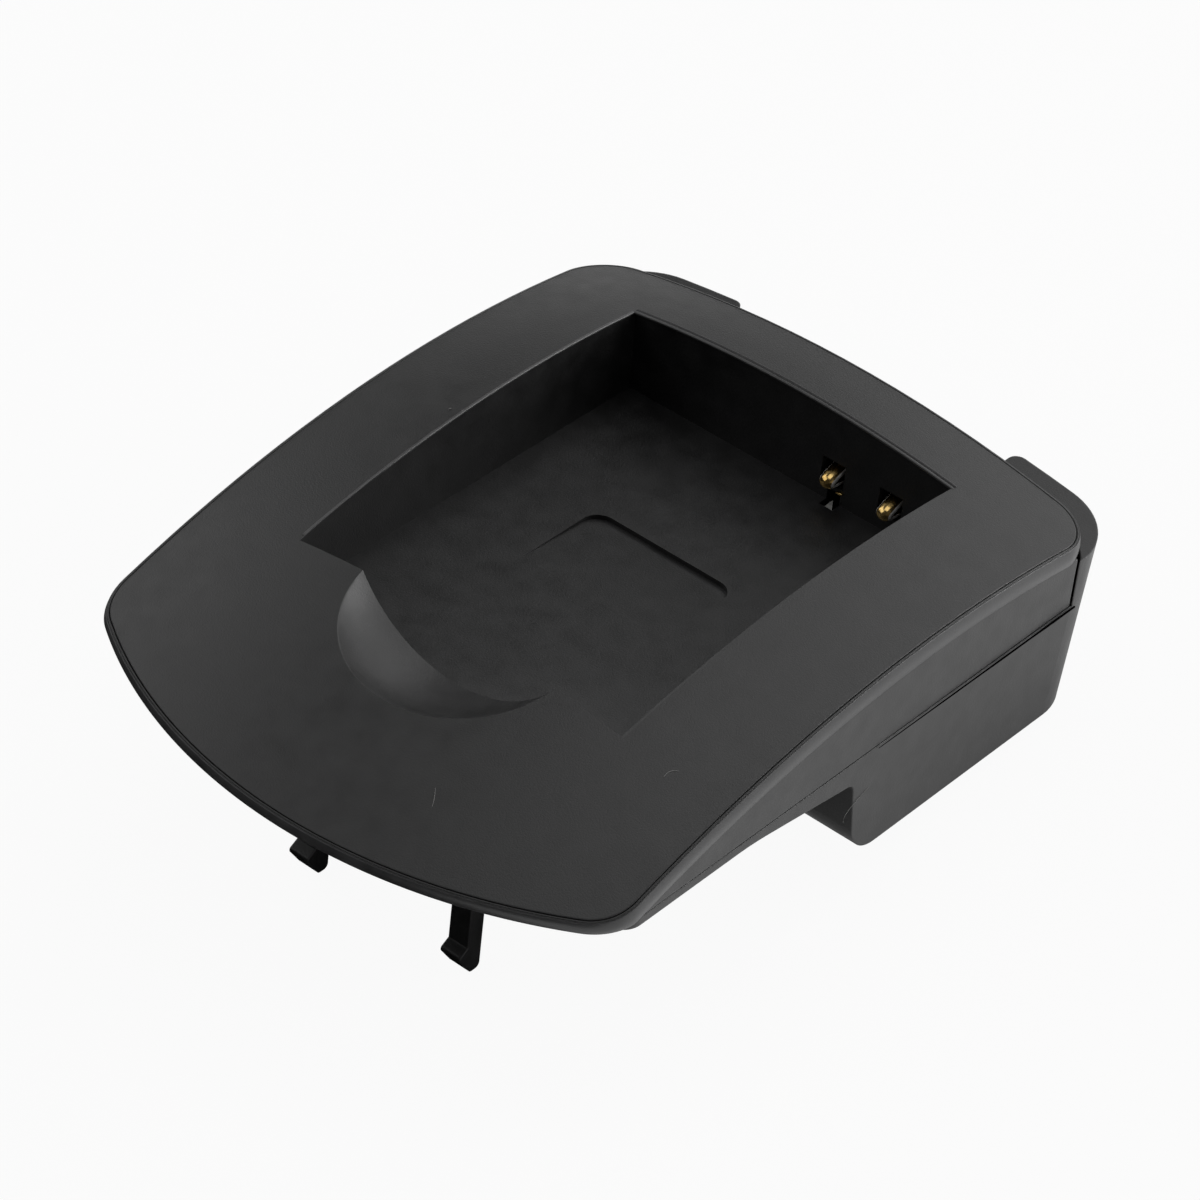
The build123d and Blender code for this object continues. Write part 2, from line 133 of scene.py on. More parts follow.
def math_node(tree, operation, first, second):
    """One Math node; each input is a socket to link or a number to set."""
    node = tree.nodes.new("ShaderNodeMath")
    node.operation = operation
    for index, value in enumerate((first, second)):
        if isinstance(value, (int, float)):
            node.inputs[index].default_value = value
        else:
            tree.links.new(value, node.inputs[index])
    return node.outputs[0]


def ease(tree, value, low, high):
    """A smooth step: 0 where value is at low or under it, 1 at high or over it."""
    node = tree.nodes.new("ShaderNodeMapRange")
    node.interpolation_type = "SMOOTHSTEP"
    node.inputs["From Min"].default_value = low
    node.inputs["From Max"].default_value = high
    tree.links.new(value, node.inputs["Value"])
    return node.outputs["Result"]


floor_material, tree, output = new_material("white_floor")
paper = tree.nodes.new("ShaderNodeBsdfPrincipled")
paper.inputs["Base Color"].default_value = (0.8, 0.8, 0.8, 1)
paper.inputs["Roughness"].default_value = 0.9
paper.inputs["Specular IOR Level"].default_value = 0.1
glow = tree.nodes.new("ShaderNodeEmission")
glow.inputs["Color"].default_value = (1, 1, 1, 1)
# Painted shadow: near the part, the glow that reflections see is darkened by ambient occlusion.
near = tree.nodes.new("ShaderNodeAmbientOcclusion")
near.samples = 8
near.inputs["Distance"].default_value = 0.015
path = tree.nodes.new("ShaderNodeLightPath")
dimmed = tree.nodes.new("ShaderNodeMix")
dimmed.data_type = "RGBA"
dimmed.inputs[7].default_value = (1, 1, 1, 1)
tree.links.new(near.outputs["Color"], dimmed.inputs[6])
tree.links.new(path.outputs["Is Camera Ray"], dimmed.inputs[0])
tree.links.new(dimmed.outputs[2], glow.inputs["Color"])
where = tree.nodes.new("ShaderNodeTexCoord")
parts = tree.nodes.new("ShaderNodeSeparateXYZ")
tree.links.new(where.outputs["Object"], parts.inputs[0])
right_side = ease(tree, parts.outputs["X"], 0.018, 0.034)
rear_side = ease(tree, parts.outputs["Y"], -0.012, 0.012)
lit = math_node(tree, "MAXIMUM", right_side, rear_side)
tree.links.new(math_node(tree, "MAXIMUM", lit, path.outputs["Is Camera Ray"]), glow.inputs["Strength"])
share = tree.nodes.new("ShaderNodeMath")
share.operation = "MULTIPLY"
share.inputs[1].default_value = 0.94
tree.links.new(seen_mask(tree), share.inputs[0])
blend = tree.nodes.new("ShaderNodeMixShader")
tree.links.new(share.outputs[0], blend.inputs["Fac"])
tree.links.new(paper.outputs[0], blend.inputs[1])
tree.links.new(glow.outputs[0], blend.inputs[2])
tree.links.new(blend.outputs[0], output.inputs["Surface"])
floor.data.materials.append(floor_material)

# %% [markdown]
# ## Room
# The camera sees white behind the floor's far end. Reflections see a low band of light at the right and the
# rear, which fades upwards and to the front like a paper roll that ends. A picture of a studio would do
# the same, but two smooth functions of the direction are enough here.

# %% Room
world = bpy.data.worlds.new("studio")
scene.world = world
world.use_nodes = True
tree = world.node_tree
tree.nodes.clear()
output = tree.nodes.new("ShaderNodeOutputWorld")
sky = tree.nodes.new("ShaderNodeTexCoord")
split = tree.nodes.new("ShaderNodeSeparateXYZ")
tree.links.new(sky.outputs["Generated"], split.inputs[0])
below = math_node(tree, "SUBTRACT", 1.0, split.outputs["Z"])
below.node.use_clamp = True
low_sky = math_node(tree, "POWER", below, 2.5)
towards_rear = math_node(
    tree, "ADD", math_node(tree, "MULTIPLY", split.outputs["X"], 0.6), math_node(tree, "MULTIPLY", split.outputs["Y"], 0.8)
)
rim = math_node(tree, "MULTIPLY", low_sky, ease(tree, towards_rear, -0.3, 0.3))
ceiling = tree.nodes.new("ShaderNodeMapRange")
ceiling.inputs["To Min"].default_value = 0.03
tree.links.new(rim, ceiling.inputs["Value"])
path = tree.nodes.new("ShaderNodeLightPath")
straight = math_node(tree, "MAXIMUM", path.outputs["Is Camera Ray"], path.outputs["Is Transmission Ray"])
strength = math_node(tree, "MAXIMUM", ceiling.outputs["Result"], straight)
room = tree.nodes.new("ShaderNodeBackground")
room.inputs["Color"].default_value = (1, 1, 1, 1)
tree.links.new(strength, room.inputs["Strength"])
tree.links.new(room.outputs[0], output.inputs["Surface"])
scene.view_settings.view_transform = "Standard"

# %% [markdown]
# ## Lights
# In the photograph the right wall is the lightest face, the top is a dark grey that gets lighter to the rear,
# and the faces towards the camera are nearly black. So weak soft boxes stand at the rear, at the left and
# above, a low one lights the right wall from behind, and none stands at the front right. An area light
# turned along a line of sight needs no constraint: its own -Z axis looks from its place to the part.

# %% Lights


def soft_box(name, place, target, width, height, watts):
    """An area light at place whose -Z axis points to target."""
    data = bpy.data.lights.new(name, "AREA")
    data.shape = "RECTANGLE"
    data.size = width
    data.size_y = height
    data.energy = watts
    lamp = bpy.data.objects.new(name, data)
    scene.collection.objects.link(lamp)
    look = (Vector(target) - Vector(place)).to_track_quat("-Z", "Y").to_matrix().to_4x4()
    lamp.matrix_world = Matrix.Translation(Vector(place)) @ look
    print(name, "distance", round((Vector(target) - Vector(place)).length, 2), "m,", watts, "W")


middle = (0.0, 0.0, 0.02)
soft_box("rear_box", (0.0, 0.65, 0.35), middle, 0.5, 0.5, 0.5)
soft_box("rear_right_box", (0.45, 0.45, 0.40), middle, 0.5, 0.5, 1.0)
soft_box("top_rear_box", (0.0, 0.40, 0.62), middle, 0.5, 0.5, 0.8)
soft_box("top_box", (0.0, 0.0, 0.75), middle, 0.5, 0.5, 0.75)
soft_box("left_box", (-0.62, 0.04, 0.38), middle, 0.5, 0.5, 0.85)
soft_box("front_left_box", (-0.42, -0.40, 0.52), middle, 0.5, 0.5, 0.75)
soft_box("low_right_box", (0.45, 0.55, 0.08), middle, 0.4, 0.4, 2.2)

# %% [markdown]
# ## Shared surface effects
# The moulded plastic has the fine grain that spark erosion leaves in a steel mould, and every edge is a little
# round, which catches the light along the lid, and painted lighter as a painted highlight. Both are needed in
# more than one material, so each is a node group. One makes grain and mottling from noise in object coordinates.
# The other rounds the normal with a Bevel node, and marks as edge what leans from the true normal.

# %% Grain group


def group_with(name, inputs, outputs):
    """A shader node group with float inputs (name, default) and outputs (name, type)."""
    group = bpy.data.node_groups.new(name, "ShaderNodeTree")
    for label, value in inputs:
        socket = group.interface.new_socket(label, in_out="INPUT", socket_type="NodeSocketFloat")
        socket.default_value = value
    for label, kind in outputs:
        group.interface.new_socket(label, in_out="OUTPUT", socket_type=kind)
    return group, group.nodes.new("NodeGroupInput"), group.nodes.new("NodeGroupOutput")


grain, given, result = group_with(
    "mould_grain",
    [("Grains per metre", 6500.0), ("Mottle per metre", 480.0)],
    [("Height", "NodeSocketFloat"), ("Mottle", "NodeSocketFloat")],
)
spot = grain.nodes.new("ShaderNodeTexCoord")
fine = grain.nodes.new("ShaderNodeTexNoise")
fine.inputs["Detail"].default_value = 2.0
fine.inputs["Roughness"].default_value = 0.6
broad = grain.nodes.new("ShaderNodeTexNoise")
broad.inputs["Detail"].default_value = 4.0
grain.links.new(spot.outputs["Object"], fine.inputs["Vector"])
grain.links.new(spot.outputs["Object"], broad.inputs["Vector"])
grain.links.new(given.outputs["Grains per metre"], fine.inputs["Scale"])
grain.links.new(given.outputs["Mottle per metre"], broad.inputs["Scale"])
grain.links.new(fine.outputs["Fac"], result.inputs["Height"])
cloud = grain.nodes.new("ShaderNodeMapRange")
cloud.inputs["From Min"].default_value = 0.25
cloud.inputs["From Max"].default_value = 0.75
grain.links.new(broad.outputs["Fac"], cloud.inputs["Value"])
grain.links.new(cloud.outputs["Result"], result.inputs["Mottle"])
print("group", grain.name, "with", len(grain.nodes), "nodes")

# %% Edge rounding and painted highlight group
worn_edge, given, result = group_with(
    "worn_edge", [("Radius", 0.0002)], [("Normal", "NodeSocketVector"), ("Edge", "NodeSocketFloat")]
)
rounded = worn_edge.nodes.new("ShaderNodeBevel")
rounded.samples = 8
flat = worn_edge.nodes.new("ShaderNodeNewGeometry")
lean = worn_edge.nodes.new("ShaderNodeVectorMath")
lean.operation = "DOT_PRODUCT"
worn_edge.links.new(given.outputs["Radius"], rounded.inputs["Radius"])
worn_edge.links.new(rounded.outputs["Normal"], lean.inputs[0])
worn_edge.links.new(flat.outputs["Normal"], lean.inputs[1])
worn_edge.links.new(rounded.outputs["Normal"], result.inputs["Normal"])
worn_edge.links.new(ease(worn_edge, lean.outputs["Value"], 0.99, 0.85), result.inputs["Edge"])
print("group", worn_edge.name, "with", len(worn_edge.nodes), "nodes")

# %% [markdown]
# ## Charcoal plastic
# The lid and the housing are the same dark grey ABS. The colour varies very little; what shows is the grain.
# The edges are rounded for the shader only, so the solids keep their exact faces, and the Bump node adds the
# grain on top of that rounded normal. In the pocket the edges are sharp, and its floor is painted lighter at
# the front right, as painted light; two masks from the coordinates say where that is.

# %% Charcoal plastic


def socket_mix(tree, factor, low, high):
    """A colour between low and high by factor."""
    mix = tree.nodes.new("ShaderNodeMix")
    mix.data_type = "RGBA"
    mix.inputs[6].default_value = (*low, 1)
    mix.inputs[7].default_value = (*high, 1)
    tree.links.new(factor, mix.inputs[0])
    return mix.outputs[2]


def range_of(tree, value, low, high):
    """Value carried from 0..1 to low..high."""
    node = tree.nodes.new("ShaderNodeMapRange")
    node.inputs["To Min"].default_value = low
    node.inputs["To Max"].default_value = high
    tree.links.new(value, node.inputs["Value"])
    return node.outputs["Result"]


def span(tree, value, low, high, fade):
    """1 between low and high, falling to 0 over fade on both sides."""
    return math_node(
        tree, "MULTIPLY", ease(tree, value, low - fade, low), ease(tree, value, high + fade, high)
    )


def pocket_masks(tree):
    """Two masks in object coordinates: inside the pocket's walls, and the front right of its floor, which is
    painted lighter as painted light.
    """
    spot = tree.nodes.new("ShaderNodeTexCoord")
    axes = tree.nodes.new("ShaderNodeSeparateXYZ")
    tree.links.new(spot.outputs["Object"], axes.inputs[0])
    across, along = axes.outputs["X"], axes.outputs["Y"]
    inside = math_node(
        tree, "MULTIPLY", span(tree, across, -0.0177, 0.0177, 0.0001), span(tree, along, -0.0182, 0.0257, 0.0001)
    )
    towards_front = math_node(
        tree, "MULTIPLY", ease(tree, along, -0.002, -0.014), ease(tree, along, -0.01714, -0.01712)
    )
    towards_right = math_node(
        tree, "MULTIPLY", ease(tree, across, -0.002, 0.010), ease(tree, across, 0.01752, 0.01748)
    )
    # Painted light: this marks the front right of the floor, to be painted lighter.
    worn = math_node(tree, "MULTIPLY", towards_right, towards_front)
    return inside, math_node(tree, "MULTIPLY", worn, inside)


def moulded_plastic(name, dark, light, gloss_low, gloss_high, edge_radius, grain_depth, has_pocket=False):
    """Grained plastic: colour and roughness from the grain group, edges from the edge rounding and highlight group.
    The edges are painted a little lighter as a painted highlight, and the grain's bump starts from the rounded
    normal.
    Inside a pocket the edges stay sharp, and the floor is painted lighter towards the front right, as painted
    light."""
    material, tree, output = new_material(name)
    skin = tree.nodes.new("ShaderNodeBsdfPrincipled")
    skin.inputs["IOR"].default_value = 1.58
    surface = tree.nodes.new("ShaderNodeGroup")
    surface.node_tree = grain
    tree.links.new(range_of(tree, surface.outputs["Mottle"], gloss_low, gloss_high), skin.inputs["Roughness"])
    edges = tree.nodes.new("ShaderNodeGroup")
    edges.node_tree = worn_edge
    edges.inputs["Radius"].default_value = edge_radius
    edge = edges.outputs["Edge"]
    if has_pocket:
        inside, worn = pocket_masks(tree)
        tree.links.new(range_of(tree, inside, edge_radius, 0.000005), edges.inputs["Radius"])
        # The marked floor is lifted like an edge at half strength, as painted light.
        edge = math_node(tree, "MAXIMUM", edge, math_node(tree, "MULTIPLY", worn, 0.5))
    body = socket_mix(tree, surface.outputs["Mottle"], dark, light)
    # Painted highlight: where the edge mask is high, the colour is lifted towards 2.5 times the light tone.
    edge_painted_highlight = tree.nodes.new("ShaderNodeMix")
    edge_painted_highlight.data_type = "RGBA"
    edge_painted_highlight.inputs[7].default_value = (*(2.5 * value for value in light), 1)
    tree.links.new(edge, edge_painted_highlight.inputs[0])
    tree.links.new(body, edge_painted_highlight.inputs[6])
    tree.links.new(edge_painted_highlight.outputs[2], skin.inputs["Base Color"])
    bump = tree.nodes.new("ShaderNodeBump")
    bump.inputs["Strength"].default_value = 1.0
    bump.inputs["Distance"].default_value = grain_depth
    tree.links.new(surface.outputs["Height"], bump.inputs["Height"])
    tree.links.new(edges.outputs["Normal"], bump.inputs["Normal"])
    tree.links.new(bump.outputs["Normal"], skin.inputs["Normal"])
    tree.links.new(skin.outputs[0], output.inputs["Surface"])
    print("material", name)
    return material


charcoal = moulded_plastic(
    "charcoal_plastic", (0.007, 0.007, 0.0072), (0.016, 0.016, 0.0163), 0.36, 0.48, 0.00022, 0.000022, True
)


def dress(node_name, material):
    """Gives a CAD node one finish in place of its own."""
    slots = nodes[node_name].data.materials
    slots.clear()
    slots.append(material)


dress("top_cover", charcoal)
dress("lower_housing", charcoal)

# %% [markdown]
# ## Bead in the lid's groove
# A fine ridge runs round the lid just inside its lip, where the two halves of the mould met. It catches the
# light beside a dark line. A ridge like this is a small round section carried along the lid's
# edge: the plan is six arcs and three straight stretches, the height comes from the dome, and both are arrays.

# %% Bead in the lid's groove
mm = 0.001
lid_low, lid_high = (np.array(corner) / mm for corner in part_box("top_cover"))
front_radius = 46.5
front_corner = 5.0
rear_corner = 4.5
dome_across = 116.7
dome_along = 127.4
dome_crest = (lid_high[1] - 20.7, 31.01)


def lid_height(x, y):
    """Height of the dome in mm: a barrel whose radius across X shrinks by the arc along Y."""
    crest_y, crest_z = dome_crest
    axis_z = crest_z - dome_across
    radius = dome_across - (dome_along - np.sqrt(dome_along**2 - (y - crest_y) ** 2))
    return axis_z + np.sqrt(radius**2 - x**2)


def arc(center, radius, start, end, count):
    """Points on a circle from angle start to angle end, in radians."""
    angle = np.linspace(start, end, count)
    return np.stack([center[0] + radius * np.cos(angle), center[1] + radius * np.sin(angle)], axis=1)


def lid_edge(inset):
    """The lid's plan moved in by inset, from the middle of the front round by the right to the front again."""
    half = lid_high[0] - inset
    bow = front_radius - inset
    bow_y = lid_low[1] + front_radius
    front_r = front_corner - inset
    rear_r = rear_corner - inset
    rear = lid_high[1] - inset
    swing = np.arcsin((half - front_r) / (bow - front_r))
    front_y = bow_y - (bow - front_r) * np.cos(swing)
    right = np.concatenate([
        arc((0, bow_y), bow, -np.pi / 2, -np.pi / 2 + swing, 60),
        arc((half - front_r, front_y), front_r, -np.pi / 2 + swing, 0, 16)[1:],
        np.stack([np.full(90, half), np.linspace(front_y, rear - rear_r, 90)], axis=1)[1:],
        arc((half - rear_r, rear - rear_r), rear_r, 0, np.pi / 2, 16)[1:],
        np.stack([np.linspace(half - rear_r, 0, 40), np.full(40, rear)], axis=1)[1:],
    ])
    left = right[-2:0:-1] * (-1, 1)
    return np.concatenate([right, left])


def mesh_of_rings(name, rings, joined):
    """Four-sided faces between rows of a grid (row, around, xyz) in mm; the last row meets the first if joined."""
    rows, around = rings.shape[:2]
    index = np.arange(rows * around).reshape(rows, around)
    here = index if joined else index[:-1]
    beyond = np.roll(index, -1, axis=0) if joined else index[1:]
    faces = np.stack([here, np.roll(here, -1, axis=1), np.roll(beyond, -1, axis=1), beyond], axis=-1).reshape(-1, 4)
    points = rings.reshape(-1, 3) * mm
    corner = points[faces]
    inside = np.einsum("ij,ij->i", corner[:, 0], np.cross(corner[:, 1], corner[:, 2])).sum()
    inside += np.einsum("ij,ij->i", corner[:, 0], np.cross(corner[:, 2], corner[:, 3])).sum()
    outlines = faces.tolist() + ([] if joined else [index[0, ::-1].tolist(), index[-1].tolist()])
    if inside < 0:
        outlines = [outline[::-1] for outline in outlines]
    mesh = bpy.data.meshes.new(name)
    mesh.from_pydata(points.tolist(), [], outlines)
    mesh.shade_smooth()
    mesh.set_sharp_from_angle(angle=math.radians(50))
    piece = bpy.data.objects.new(name, mesh)
    scene.collection.objects.link(piece)
    print(name, len(faces), "faces")
    return piece


def tube_along(name, path, radius, around, joined):
    """Round tube: at each path point a circle across the path's direction, from two cross products."""
    ahead = (np.roll(path, -1, axis=0) - np.roll(path, 1, axis=0)) if joined else np.gradient(path, axis=0)
    ahead /= np.linalg.norm(ahead, axis=1, keepdims=True)
    aside = np.cross(ahead, (0.0, 0.0, 1.0))
    aside /= np.linalg.norm(aside, axis=1, keepdims=True)
    above = np.cross(aside, ahead)
    angle = np.linspace(0, 2 * np.pi, around, endpoint=False)[None, :, None]
    width = np.broadcast_to(radius, len(path))[:, None, None]
    rings = path[:, None] + width * (np.cos(angle) * aside[:, None] + np.sin(angle) * above[:, None])
    return mesh_of_rings(name, rings, joined)


def finish_piece(piece, material):
    """Gives a new piece its finish and the body that carries it."""
    piece.data.materials.append(material)
    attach(piece, "root")


bead_inset = 0.19
bead_radius = 0.11
bead_sink = 0.07
plan = lid_edge(bead_inset)
bead_path = np.column_stack([plan, lid_height(plan[:, 0], plan[:, 1]) - bead_sink])
bead = tube_along("lid_bead", bead_path, bead_radius, 8, True)
finish_piece(bead, charcoal)
print("bead from z", round(bead_path[:, 2].min(), 2), "to", round(bead_path[:, 2].max(), 2), "mm")

# %% [markdown]
# ## Rounded lip
# The lip under the groove isn't a flat band: it swells a little, so a line of light runs along the right
# wall. Its colour is painted lighter than the lid's, as painted light, and its finish is a little smoother. The
# swelling is one arc, carried round the same plan. Each row of the grid is that arc, pushed out along the
# plan's own normal and closed by two points that lie inside the solid lip. At the front the joint line cuts the arc
# short.

# %% Rounded lip
lip_height = 1.8
lip_swell = 0.14
seam_z = 19.33
lip_root = 0.3
arc_steps = 14
plan = lid_edge(0.0)
along_edge = np.roll(plan, -1, axis=0) - np.roll(plan, 1, axis=0)
along_edge /= np.linalg.norm(along_edge, axis=1, keepdims=True)
outward = np.stack([along_edge[:, 1], -along_edge[:, 0]], axis=1)
down = np.linspace(0, 1, arc_steps)
push = np.concatenate([lip_swell * 4 * down * (1 - down), [-lip_root, -lip_root]])
share_down = np.concatenate([0.02 + 0.98 * down, [1.0, 0.06]])
edge_z = lid_height(plan[:, 0], plan[:, 1])
deep = np.minimum(lip_height, edge_z - seam_z)
lip = np.empty((len(plan), arc_steps + 2, 3))
lip[..., :2] = plan[:, None] + outward[:, None] * push[None, :, None]
lip[..., 2] = edge_z[:, None] - deep[:, None] * share_down[None, :]
# Painted light: the lip's colour is a lighter copy of the lid's charcoal.
lip_painted_light = moulded_plastic("lip_painted_light", (0.03, 0.03, 0.031), (0.055, 0.055, 0.056), 0.3, 0.42, 0.0001, 0.00001)
lip_roll = mesh_of_rings("lip_roll", lip, True)
finish_piece(lip_roll, lip_painted_light)

# %% [markdown]
# ## Painted shadow in the seam
# On the right wall the seam between lid and housing opens a little to the rear, and shows as a black line that
# gets thicker. A gap that narrow is hard to model as a gap. A nearly sunk black tube, whose radius grows and
# wavers along the seam, stands in for the gap's shade as a painted shadow, and reflects nothing.

# %% Painted shadow in the seam
seam_start, seam_end = 4.0, lid_high[1] - 2.0
seam_drop = 0.055
seam_share = np.linspace(0, 1, 120)
seam_path = np.column_stack([
    np.full(120, lid_high[0] - 0.02), seam_start + (seam_end - seam_start) * seam_share, np.full(120, seam_z - seam_drop)
])
seam_radius = 0.025 + 0.075 * seam_share ** 0.7 + 0.01 * seam_share * np.sin(23 * seam_share)
# Painted shadow: a nearly black, matte tube where the gap shows only shade.
seam_painted_shadow, tree, output = new_material("seam_painted_shadow")
skin = tree.nodes.new("ShaderNodeBsdfPrincipled")
skin.inputs["Specular IOR Level"].default_value = 0.0
surface = tree.nodes.new("ShaderNodeGroup")
surface.node_tree = grain
shade = socket_mix(tree, surface.outputs["Mottle"], (0.001, 0.001, 0.001), (0.004, 0.004, 0.004))
tree.links.new(shade, skin.inputs["Base Color"])
tree.links.new(range_of(tree, surface.outputs["Mottle"], 0.8, 1.0), skin.inputs["Roughness"])
tree.links.new(skin.outputs[0], output.inputs["Surface"])
finish_piece(tube_along("seam_shadow_tube", seam_path, seam_radius, 10, False), seam_painted_shadow)

# %% [markdown]
# ## Rim of the pocket
# Along the left and the back of the pocket the edge stands up as a hair-thin ridge, left by the core that
# shaped the pocket. Its colour is painted lighter than the lid's, a painted highlight, and it is the lightest
# line on the lid. At the back the lid steps up behind it, which shows as a dark line. Both could be cut into
# the solid, but at a tenth of a millimetre two round tubes that are nearly sunk give the same look.

# %% Rim of the pocket
rim_half = 17.5
rim_back = lid_high[1] - 7.8
rim_front = -16.5
rim_radius = 0.15
rim_sink = 0.08
step_behind = 0.42
step_radius = 0.2
step_sink = 0.1
left_run = np.stack([np.full(120, -rim_half), np.linspace(rim_front, rim_back - 0.2, 120)], axis=1)
corner_run = arc((-rim_half + 0.2, rim_back - 0.2), 0.2, np.pi, np.pi / 2, 8)[1:]
back_run = np.stack([np.linspace(-rim_half + 0.2, rim_half, 90), np.full(90, rim_back)], axis=1)[1:]
rim_plan = np.concatenate([left_run, corner_run, back_run])
rim_path = np.column_stack([rim_plan, lid_height(rim_plan[:, 0], rim_plan[:, 1]) - rim_sink])
# Painted highlight: the rim's colour is several times lighter than the lid's.
rim_painted_highlight = moulded_plastic("rim_painted_highlight", (0.045, 0.045, 0.046), (0.07, 0.07, 0.071), 0.28, 0.4, 0.00001, 0.000006)
pocket_rim = tube_along("pocket_rim", rim_path, rim_radius, 10, False)
finish_piece(pocket_rim, rim_painted_highlight)
step_x = np.linspace(-rim_half, rim_half, 90)
step_y = np.full(90, rim_back + step_behind)
step_path = np.column_stack([step_x, step_y, lid_height(step_x, step_y) - step_sink])
rim_step = tube_along("rim_step", step_path, step_radius, 10, False)
finish_piece(rim_step, charcoal)

# %% [markdown]
# ## Gold contacts
# The two strips in the pocket's back wall are thin bronze with a gold flash. A metal has no diffuse colour:
# its base colour is the tint of its reflection, so roughness decides how it reads.

# %% Contacts and studs


def plated_metal(name, dark, light, gloss_low, gloss_high, scratch_depth, cut_edge_painted_light_tint=None):
    """Plated metal: tint and roughness wander with the grain group, and a fine bump stands for rolling marks.
    Where the cut tint is given, faces that the cut_edge attribute marks show it instead: bare metal, painted near
    white and nearly matte as painted light, so they read bright in the slot's shade."""
    material, tree, output = new_material(name)
    skin = tree.nodes.new("ShaderNodeBsdfPrincipled")
    skin.inputs["Metallic"].default_value = 1.0
    surface = tree.nodes.new("ShaderNodeGroup")
    surface.node_tree = grain
    surface.inputs["Grains per metre"].default_value = 2600.0
    surface.inputs["Mottle per metre"].default_value = 700.0
    tint = socket_mix(tree, surface.outputs["Mottle"], dark, light)
    if cut_edge_painted_light_tint:
        mark = tree.nodes.new("ShaderNodeAttribute")
        mark.attribute_name = "cut_edge"
        bare_metal_painted_light = tree.nodes.new("ShaderNodeMix")
        bare_metal_painted_light.data_type = "RGBA"
        bare_metal_painted_light.inputs[7].default_value = (*cut_edge_painted_light_tint, 1)
        tree.links.new(mark.outputs["Fac"], bare_metal_painted_light.inputs[0])
        tree.links.new(tint, bare_metal_painted_light.inputs[6])
        tint = bare_metal_painted_light.outputs[2]
        tree.links.new(range_of(tree, mark.outputs["Fac"], 1.0, 0.15), skin.inputs["Metallic"])
    tree.links.new(tint, skin.inputs["Base Color"])
    tree.links.new(range_of(tree, surface.outputs["Mottle"], gloss_low, gloss_high), skin.inputs["Roughness"])
    bump = tree.nodes.new("ShaderNodeBump")
    bump.inputs["Distance"].default_value = scratch_depth
    tree.links.new(surface.outputs["Height"], bump.inputs["Height"])
    tree.links.new(bump.outputs["Normal"], skin.inputs["Normal"])
    tree.links.new(skin.outputs[0], output.inputs["Surface"])
    print("material", name)
    return material


gold = plated_metal("gold_flash", (0.72, 0.46, 0.14), (0.92, 0.68, 0.28), 0.16, 0.3, 0.000006)
zinc = plated_metal("zinc_plate", (0.5, 0.5, 0.48), (0.68, 0.68, 0.66), 0.28, 0.42, 0.00001)
dress("battery_contact_positive", gold)
dress("battery_contact_negative", gold)
dress("base_contacts", gold)
dress("housing_screws", zinc)

# %% [markdown]
# ## Contact springs
# Each contact is stamped from strip that was plated before it was cut, so its faces are gold and its cut
# edges show bare metal, painted near white as painted light so they read bright in the slot's shade. The nose
# is pressed into a shallow crown, to touch the battery at one point. A spring like that is a path, rounded at
# its bends, with a thin section carried along it; the crown is a bulge that fades along the path and across
# the strip. An attribute marks the cut edges for the material.

# %% Contact springs


def rounded_path(points, reach, count):
    """Polyline whose bends are quadratic curves: each starts and ends at its own reach from the corner."""
    points = np.asarray(points, float)
    step = np.linspace(0, 1, count)[:, None]
    pieces = [points[:1]]
    for before, corner, after, length in zip(points[:-2], points[1:-1], points[2:], reach):
        start = corner + (before - corner) * length / np.linalg.norm(before - corner)
        end = corner + (after - corner) * length / np.linalg.norm(after - corner)
        pieces.append((1 - step) ** 2 * start + 2 * step * (1 - step) * corner + step**2 * end)
    return np.concatenate(pieces + [points[-1:]])


def contact_spring(name, node, material):
    """A strip along a path in the YZ plane, with a crowned nose; stands in for the plain CAD strip."""
    low, high = (np.array(corner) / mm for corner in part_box(node))
    middle_x = (low[0] + high[0]) / 2
    half_width = (high[0] - low[0]) / 2
    half_thick = strip_thick / 2
    stem_y = high[1] - half_thick
    nose = (low[1] - nose_lead, high[2] - nose_below_top)
    path = rounded_path(
        [(stem_y, low[2]), (stem_y, nose[1] - leg_drop), nose, (stem_y, nose[1] + leg_lift), (stem_y, high[2])],
        (0.5, 1.25, 0.5), 36,
    )
    ahead = np.gradient(path, axis=0)
    ahead /= np.linalg.norm(ahead, axis=1, keepdims=True)
    outward = np.stack([ahead[:, 1], -ahead[:, 0]], axis=1)
    angle = np.linspace(0, 2 * np.pi, 48, endpoint=False)
    round_x = np.sign(np.cos(angle)) * np.abs(np.cos(angle)) ** 0.4
    round_out = np.sign(np.sin(angle)) * np.abs(np.sin(angle)) ** 0.4
    shape_x = round_x * half_width
    near_nose = np.exp(-(((path[:, 0] - path[:, 0].min()) / crown_length) ** 2))
    bulge = crown * near_nose[:, None] * (1 - round_x**2)[None, :]
    offset = round_out[None, :] * half_thick - bulge
    rings = np.empty((len(path), len(angle), 3))
    rings[..., 0] = middle_x + shape_x
    rings[..., 1] = path[:, None, 0] + outward[:, None, 0] * offset
    rings[..., 2] = path[:, None, 1] + outward[:, None, 1] * offset
    spring = mesh_of_rings(name, rings, False)
    cut = spring.data.attributes.new("cut_edge", "FLOAT", "POINT")
    cut.data.foreach_set("value", np.tile((np.abs(round_x) > 0.86).astype(float), len(path)))
    finish_piece(spring, material)
    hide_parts(node)


strip_thick = 0.4
nose_lead = 0.42
nose_below_top = 3.0
leg_drop = 0.45
leg_lift = 1.3
crown = 0.36
crown_length = 3.2
# The last colour is the cut edges' bare metal, painted near white as painted light so they read bright in the
# slot's shade.
cut_gold = plated_metal(
    "cut_gold_strip", (0.74, 0.47, 0.14), (0.95, 0.7, 0.3), 0.14, 0.24, 0.000003, (0.95, 0.93, 0.9)
)
for end in ("positive", "negative"):
    contact_spring("contact_spring_" + end, "battery_contact_" + end, cut_gold)
